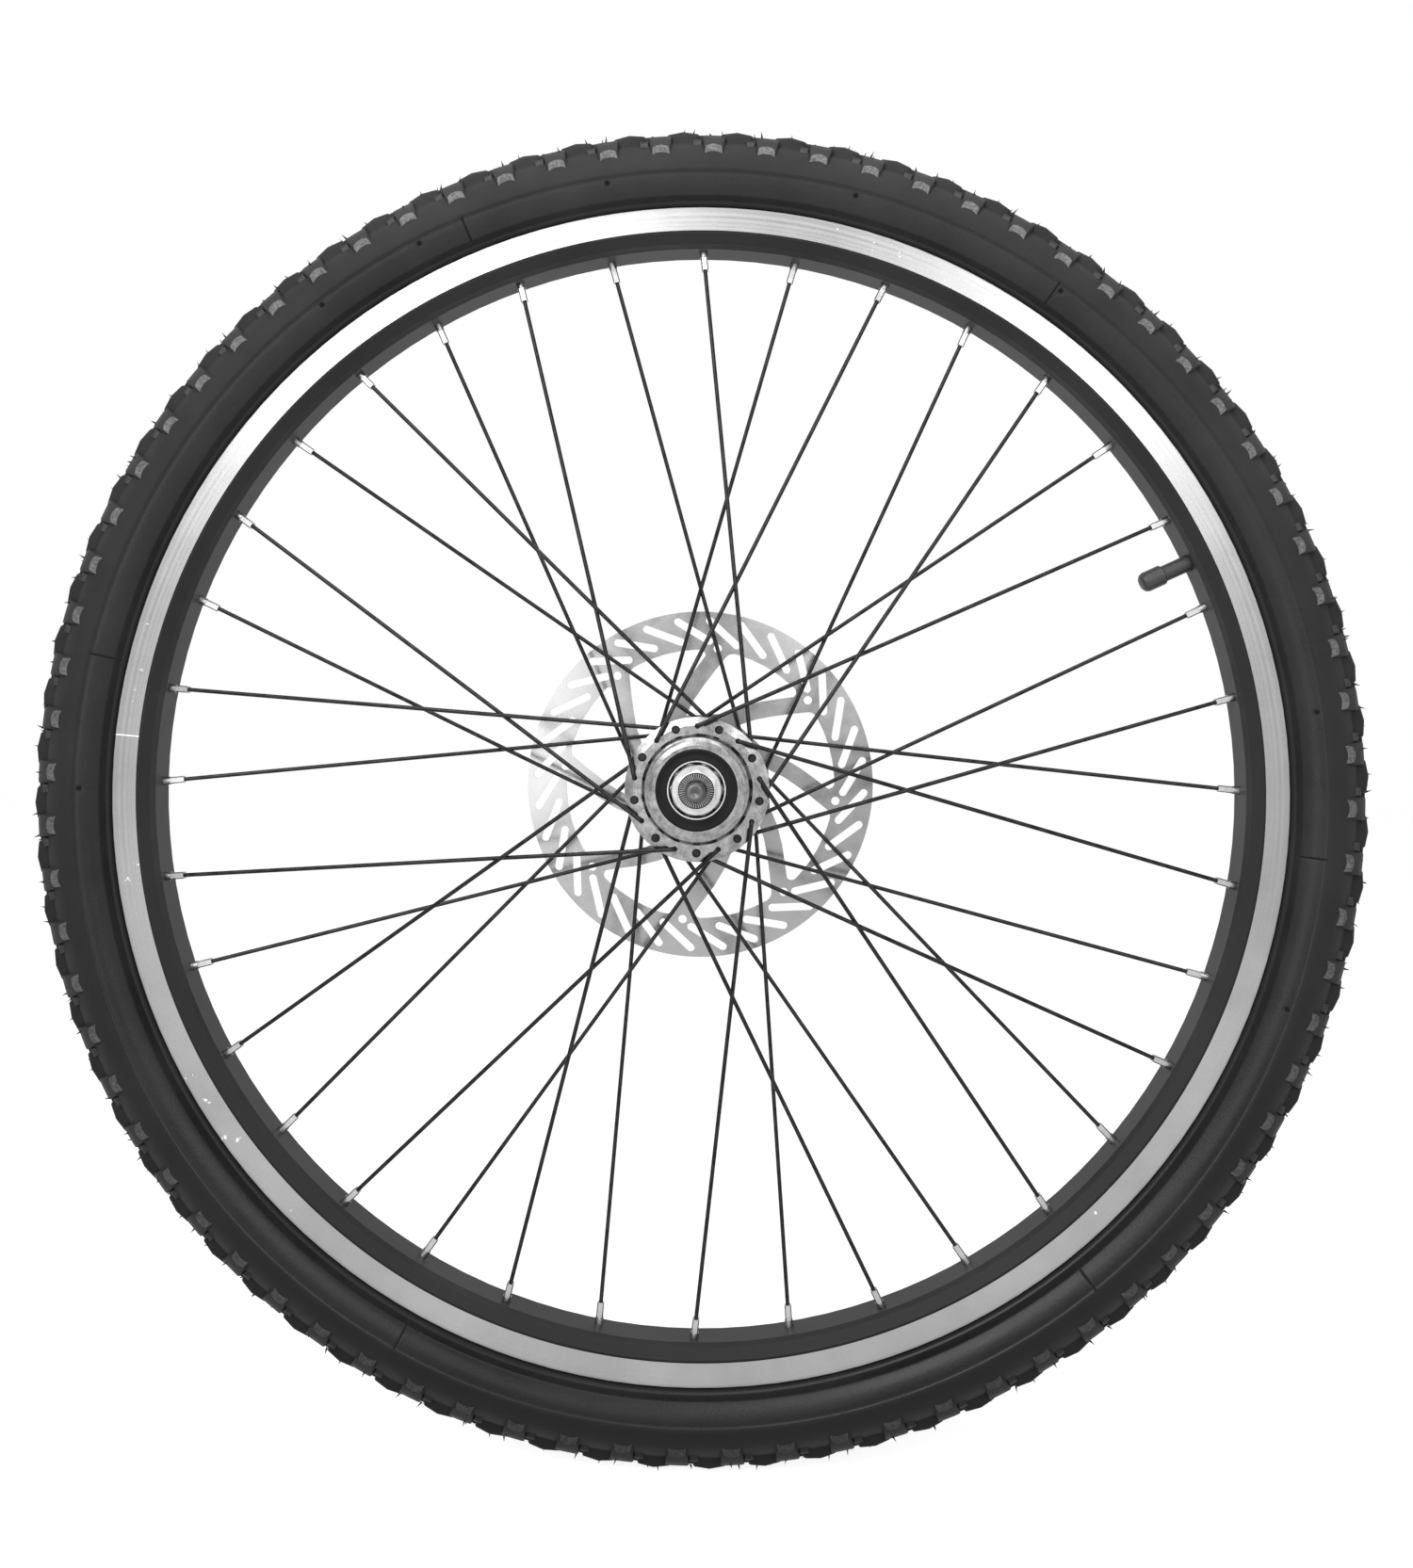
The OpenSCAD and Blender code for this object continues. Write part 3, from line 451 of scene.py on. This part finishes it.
def tyre_casing():
    """The section carried round the wheel: point = (r cos a, y, r sin a). The wall has thin dark radial
    lines where the parts of the mould meet and small dimples under the step. At both, y falls by DIP
    times a wedge of the distance along the wall, and the same wedge is kept as a face value."""
    section = tyre_section()
    r, y = section[:, 0], section[:, 1]
    count = PITCHES * 6
    even = np.arange(count) * TAU / count
    marks = np.radians(np.array(MOULD_LINES + DIMPLES) % 360)
    close = marks[:, None] + np.arange(-4, 5) * MARK_STEP / WALL_R
    a = np.unique(np.concatenate([even, close.ravel()]) % TAU)

    def away(angle):
        """Distance along the wall, in mm, of every grid line from an angle."""
        return np.abs((a - math.radians(angle) + math.pi) % TAU - math.pi) * WALL_R

    outer_side = np.abs(y) > 15
    wall = smooth_step(r, 287.5, 289.5) * (1 - smooth_step(r, 298.6, 299.6)) * outer_side
    under_step = (np.abs(r - 296.2) < 1.1) * outer_side
    dip = np.zeros((len(a), len(r)))
    for angle in MOULD_LINES:
        dip += np.outer(np.clip(1 - away(angle) / 0.6, 0, 1), wall)
    for angle in DIMPLES:
        dip += np.outer(np.clip(1.3 - away(angle) / 1.4, 0, 1), under_step)
    width = y[None, :] - np.sign(y)[None, :] * DIP * np.clip(dip, 0, 1)
    points = around(r[None, :], a[:, None], width)
    faces = sheet_faces(len(a), len(r))
    dark = np.clip((dip + np.roll(dip, -1, 0) + np.roll(dip, -1, 1)) / 2, 0, 1).reshape(-1)
    return points.reshape(-1, 3), faces, np.zeros(len(faces)), dark


def block_outline(steps=6, round_off=0.14):
    """A rectangle of half sides 1 with cut corners, anticlockwise, with several points on the long
    sides, so that they can bow."""
    c = 1 - round_off
    along = np.linspace(-c, c, steps)
    right = np.array([[1, -c], [1, 0], [1, c]])
    top = np.stack([along[::-1], np.ones(steps)], -1)
    left = -right
    bottom = np.stack([along, -np.ones(steps)], -1)
    return np.concatenate([right, top, left, bottom])


def tread_row(y0, y1, share, shift, flare=1.0, hollow=0.0, crest=0.0, high=1.0, dusty=0.0):
    """All blocks of one row. Ring h of a block lies at radius foot + h (top - foot), where foot is the
    casing's ellipse and top is the tread's, and its angle is the block's own plus the outline's share
    of its length. flare is its length at the inner side over that at the outer one, hollow how far
    its outer face bows in, crest how far the middle of its top stands up, high its share of the
    height and dusty how pale its outer face is: partly dust, partly a painted highlight."""
    outline = block_outline()
    levels = [(-0.4, 1.06), (0.0, 1.03), (0.5, 1.0), (0.9, 0.97), (1.0, 0.9)]
    foot_reach, top_reach = 24.6, 24.2
    mid, half = (y0 + y1) / 2, (y1 - y0) / 2
    side = np.sign(mid) if abs(mid) > 1 else 0
    length = share * PITCH / 2
    a0 = TREAD_PHASE + (np.arange(PITCHES) + shift) * PITCH
    a0 = a0 + np.radians(DRIFT + SWING * np.cos(a0 - SWING_AT))
    facing = outline[:, 1] * side > 0.99
    widen = np.ones(len(outline))
    if side:
        widen = 1 + (flare - 1) * (1 - outline[:, 1] * side) / 2
    rings = []
    for height, size in levels:
        spread = size if height > 0.95 or height < 0 else 1
        yy = mid + outline[:, 1] * half * spread
        yy = yy - side * hollow * (1 - outline[:, 0] ** 2) * facing
        yy = np.clip(yy, -foot_reach, foot_reach)
        foot = casing_at(yy)
        top = foot + (tread_at(np.clip(yy, -top_reach, top_reach)) - foot) * high
        top = top + crest * (1 - np.abs(outline[:, 0]))
        aa = a0[:, None] + (outline[:, 0] * widen)[None, :] * length * size
        rings.append(around((foot + (top - foot) * height)[None, :], aa, yy[None, :]))
    peak = float(casing_at(mid) + (tread_at(mid) - casing_at(mid)) * high + crest)
    tip = around(np.full(PITCHES, peak), a0, mid)
    block = np.stack(rings, 1)
    n, k, m = block.shape[:3]
    points = np.concatenate([block.reshape(n, k * m, 3), tip[:, None, :]], 1).reshape(-1, 3)
    faces = block_faces(k, m)
    value = np.zeros(len(faces))
    outer = facing & np.roll(facing, -1)
    # Pale outer faces, partly dust and partly a painted highlight; the tops get a little of it
    value[m:(k - 1) * m] = np.tile(outer * dusty, k - 2)
    value[(k - 1) * m:(k - 1) * m + m // 2] = 0.08 * dusty
    all_faces = (np.arange(n)[:, None, None] * (k * m + 1) + faces[None]).reshape(-1, 4)
    return points, all_faces, np.tile(value, n), np.zeros(len(all_faces))


def block_faces(levels, corners):
    """Quads of one block: its sides from ring to ring, its top, from the last ring to a tip, and its
    foot, across the first ring."""
    j = np.arange(corners)
    along = (j + 1) % corners
    low = np.arange(levels - 1)[:, None] * corners
    sides = np.stack([low + j, low + corners + j, low + corners + along, low + along], -1)
    last, pair = (levels - 1) * corners, j[::2]
    tips = np.full(len(pair), levels * corners)
    cap = np.stack([last + pair, tips, last + (pair + 2) % corners, last + pair + 1], -1)
    return np.concatenate([sides.reshape(-1, 4), cap, across(0, corners)])


def vent_hairs(y, shift, height=2.6, thick=0.7):
    """Thin three-sided spikes left by the mould's vents, on most blocks of a row. Spike k stands at
    its block's angle plus a sine of k, and its height is a sine of k too, cut off below 0."""
    k = np.arange(PITCHES)
    a0 = TREAD_PHASE + (k + shift + 0.12 * np.sin(k * 2.9 + y)) * PITCH
    spin = np.arange(3) * TAU / 3
    reach = height * np.clip(np.sin(k * 2.4 + y) + 0.55, 0, 1.2)
    r0 = float(tread_at(y)) - 0.6
    feet = a0[:, None] + thick * np.cos(spin) / r0
    foot = around(np.full((PITCHES, 3), r0), feet, y + thick * np.sin(spin))
    tip = around(r0 + 0.4 + reach, a0 + 1.1 / r0 * np.sin(k * 1.7), y)
    points = np.concatenate([foot, tip[:, None, :]], 1).reshape(-1, 3)
    spike = np.array([[0, 3, 1], [1, 3, 2], [2, 3, 0], [0, 1, 2]])
    faces = (k[:, None, None] * 4 + spike[None]).reshape(-1, 3)
    return points, faces


def gathered(parts):
    """Several sets of points, faces and face values as one."""
    starts = np.cumsum([0] + [len(part[0]) for part in parts[:-1]])
    points = np.concatenate([part[0] for part in parts])
    faces = np.concatenate([part[1] + start for part, start in zip(parts, starts)])
    values = [np.concatenate(column) for column in list(zip(*parts))[2:]]
    return [points, faces] + values


def tyre_part(name, parts, material, smooth=True):
    """One piece of the tyre from sets of points, faces and, where it has them, its two face values."""
    points, faces, *values = gathered(parts)
    named = dict(zip(("dust", "mould_line"), values))
    piece = mesh_piece(name, points, faces, "wheel", material, smooth, **named)
    return piece


def make_tyre(material):
    """The casing, five kinds of rows of blocks and the hairs on them. The left side's rows lie half a
    pitch further round than the right side's."""
    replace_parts(tyre_part("tyre_casing", [tyre_casing()], material), "tyre")
    rows = []
    for side in (-1, 1):
        lag = 0.5 if side > 0 else 0.0
        edge = sorted((side * 15.6, side * 23.6))
        ledge = sorted((side * 16.2, side * 18.9))
        flank = sorted((side * 7.2, side * 15.0))
        rows.append(tread_row(*edge, 0.37, lag, flare=1.2, hollow=1.0, dusty=1.0))
        rows.append(tread_row(*ledge, 0.17, lag + 0.31, high=0.5, dusty=0.3))
        rows.append(tread_row(*flank, 0.56, lag - 0.42, flare=1.1, crest=1.1))
        rows.append(tread_row(*flank, 0.20, lag + 0.02, crest=0.2, high=0.8))
    rows.append(tread_row(-6.0, 6.0, 0.8, 0.3))
    tyre_part("tread_blocks", rows, material)
    hair_rows = ((-12.5, -0.42), (12.5, 0.08), (-3.0, 0.3), (-17.5, 0.0), (-14.0, -0.25), (-9.0, 0.2),
                 (17.5, 0.5))
    tyre_part("vent_hairs", [vent_hairs(y, shift) for y, shift in hair_rows], material, smooth=False)


# Axle thread


def threaded_axle(material):
    """The axle with its thread: radius = r0 - depth * triangle wave of (y / pitch - angle / turn),
    fading into the plain chamfers at the two ends."""
    r0, depth, lead, half = 4.75, 0.42, 1.0, 70.0
    chamfer, centre_r, centre_depth, tip_r = 1.2, 1.9, 2.0, 0.02
    n = 40
    a = np.arange(n) * TAU / n
    y = np.arange(-half, half + 0.01, 0.25)
    wave = np.abs(((y[:, None] / lead - a[None, :] / TAU) % 1.0) * 2 - 1)
    inward = half - np.abs(y)
    fade = smooth_step(inward, 0.8, 2.0)[:, None]
    r = r0 - depth * wave * fade - np.clip(chamfer - inward, 0, chamfer)[:, None]
    body = around(r, a[None, :], y[:, None])

    def centre_hole(side):
        rim = around(np.full(n, centre_r), a, side * half)
        bottom = around(np.full(n, tip_r), a, side * (half - centre_depth))
        return [rim, bottom]

    grid = np.concatenate([np.stack(centre_hole(-1)[::-1]), body, np.stack(centre_hole(1))])
    side = sheet_faces(len(grid), n, row_wrap=False)
    far = across((len(grid) - 1) * n, n)
    faces = np.concatenate([side[:, ::-1], across(0, n), far[:, ::-1]])
    axle = mesh_piece("axle_thread", grid.reshape(-1, 3), faces, "axle_set", material)
    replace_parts(axle, "axle")


# Scene


def dress(nodes, material):
    """Gives solids of the frame their material."""
    for name in nodes:
        mesh = NODES[name].data
        mesh.materials.clear()
        mesh.materials.append(material)


def seen_white(nodes):
    """1 for rays from the camera, mirrors and glass, 0 for the light that reaches matt surfaces."""
    path = nodes.new("ShaderNodeLightPath")
    links = path.id_data.links
    total = path.outputs["Is Camera Ray"]
    for kind in ("Is Glossy Ray", "Is Transmission Ray"):
        add = nodes.new("ShaderNodeMath")
        add.operation = "ADD"
        add.use_clamp = True
        links.new(total, add.inputs[0])
        links.new(path.outputs[kind], add.inputs[1])
        total = add.outputs[0]
    return total


def background_white():
    """White where the camera or a reflection looks past the wheel, a plain level for lighting."""
    world = bpy.data.worlds.new("studio")
    bpy.context.scene.world = world
    world.use_nodes = True
    nodes, links = world.node_tree.nodes, world.node_tree.links
    base = nodes["Background"]
    base.inputs[0].default_value = (1, 1, 1, 1)
    base.inputs[1].default_value = WORLD_LIGHT
    seen = nodes.new("ShaderNodeBackground")
    seen.inputs[0].default_value = (1, 1, 1, 1)
    seen.inputs[1].default_value = 1.0
    mix = nodes.new("ShaderNodeMixShader")
    links.new(seen_white(nodes), mix.inputs[0])
    links.new(base.outputs[0], mix.inputs[1])
    links.new(seen.outputs[0], mix.inputs[2])
    links.new(mix.outputs[0], nodes["World Output"].inputs[0])


def make_floor():
    """A pale floor that the camera sees nearly white, with the wheel's soft shadow on it."""
    size, z = 6.0, CAD_BOX[0].z
    mesh = bpy.data.meshes.new("floor")
    corners = [(-size, -size, z), (size, -size, z), (size, size, z), (-size, size, z)]
    mesh.from_pydata(corners, [], [(0, 1, 2, 3)])
    mat, nodes, links, bsdf = new_material("pale_floor")
    bsdf.inputs["Base Color"].default_value = (0.5, 0.5, 0.5, 1)
    bsdf.inputs["Roughness"].default_value = 0.9
    bsdf.inputs["Specular IOR Level"].default_value = 0.1
    glow = nodes.new("ShaderNodeEmission")
    glow.inputs[1].default_value = FLOOR_GLOW
    add = nodes.new("ShaderNodeAddShader")
    pick = nodes.new("ShaderNodeMixShader")
    links.new(seen_white(nodes), pick.inputs[0])
    links.new(bsdf.outputs[0], pick.inputs[1])
    links.new(bsdf.outputs[0], add.inputs[0])
    links.new(glow.outputs[0], add.inputs[1])
    links.new(add.outputs[0], pick.inputs[2])
    links.new(pick.outputs[0], nodes["Material Output"].inputs[0])
    mesh.materials.append(mat)
    floor = bpy.data.objects.new("floor", mesh)
    bpy.context.scene.collection.objects.link(floor)


def softbox(name, place, target, width, height, power):
    """A flat lamp at a place, turned to its target, in metres and watts."""
    light = bpy.data.lights.new(name, "AREA")
    light.shape = "RECTANGLE"
    light.size = width
    light.size_y = height
    light.energy = power
    obj = bpy.data.objects.new(name, light)
    obj.location = place
    obj.rotation_euler = (Vector(target) - Vector(place)).to_track_quat("-Z", "Y").to_euler()
    bpy.context.scene.collection.objects.link(obj)


def make_camera():
    """Looks at the wheel's right-hand side as the photograph does: 1404 px of focal length for an
    image 1665 px high, its main point 6 px right of and 112 px above the middle of the image."""
    focal, image_height, off_x, off_y, sensor = 1404.2, 1665, -6.4, -111.6, 36
    yaw, pitch, roll = math.radians(-0.699), math.radians(2.226), math.radians(0.48)
    forward = Vector((math.sin(yaw) * math.cos(pitch), math.cos(yaw) * math.cos(pitch), math.sin(pitch)))
    right = Vector((math.cos(yaw), -math.sin(yaw), 0))
    up = right.cross(forward)
    place = Vector((0.0149, -0.6556, 0.0277))
    turn = Matrix.Rotation(-roll, 3, "Y")
    place, right, up, forward = turn @ place, turn @ right, turn @ up, turn @ forward
    data = bpy.data.cameras.new("camera")
    data.sensor_width = sensor
    data.lens = sensor * focal / image_height
    data.shift_x = off_x / image_height
    data.shift_y = off_y / image_height
    data.clip_start = 0.01
    data.clip_end = 50
    camera = bpy.data.objects.new("camera", data)
    axes = Matrix((right, up, -forward)).transposed().to_4x4()
    camera.matrix_world = Matrix.Translation(place) @ axes
    bpy.context.scene.collection.objects.link(camera)
    bpy.context.scene.camera = camera


make_camera()
background_white()
make_floor()
# Softboxes: name, place, target, width, height and power
for lamp in (
    ("key", (-0.9, -1.9, 1.5), (0, 0, 0), 1.6, 1.2, 32),
    ("front", (0.42, -1.9, 0.42), (0.42, 0, 0.42), 0.6, 0.5, 2.8),
    ("left", (-0.54, -1.9, 0.2), (-0.54, 0, 0.2), 0.58, 0.8, 4.0),
    ("high_right", (0.85, -1.9, 0.95), (0.3, 0, 0.3), 0.7, 0.7, 7),
    ("high_left", (-0.75, -1.9, 0.8), (-0.3, 0, 0.3), 0.5, 0.5, 3),
    ("fill", (1.6, -1.6, 0.5), (0, 0, 0), 0.8, 1.2, 2),
    ("top", (0.2, -0.8, 2.1), (0, 0, 0), 2.0, 1.2, 16),
):
    softbox(*lamp)

make_tyre(tyre_rubber())
threaded_axle(turned_metal("axle_steel", 0.1, 0.35, spread=0.05))
dress(["rim"], rim_metal())
dress(["inner_tube", "rim_tape"], plain_rubber("tube_rubber", 0.02, 0.6))
dress(["valve_stem"], plain_rubber("valve_rubber", 0.03, 0.5))
dress(["valve_cap"], plain_plastic("cap_plastic", 0.03, 0.45))
dress(["valve_core", "valve_pin"], turned_metal("brass", 0.6, 0.3))
dress(["nipples"], turned_metal("nipple_metal", 0.42, 0.3))
dress(["hub_shell"], cast_metal("hub_metal", 0.27, 0.2))
dress(["bearing_cup_right", "bearing_cup_left", "balls_right", "balls_left", "cone_right", "cone_left",
       "axle_washers"], turned_metal("bearing_steel", 0.5, 0.25))
dress(["dust_seal_right", "dust_seal_left"], plain_plastic("seal_plastic", 0.01, 0.5, specular=0.12))
dress(["locknuts"], nut_steel("nut_steel", 0.035, 0.35))
dress(["brake_rotor"], turned_metal("rotor_steel", 0.31, 0.18, spread=0.03))
dress(["rotor_bolts"], turned_metal("bolt_steel", 0.12, 0.45, spread=0.03))
dress([n for n in NODES if n.startswith("spoke_")], wire_steel())
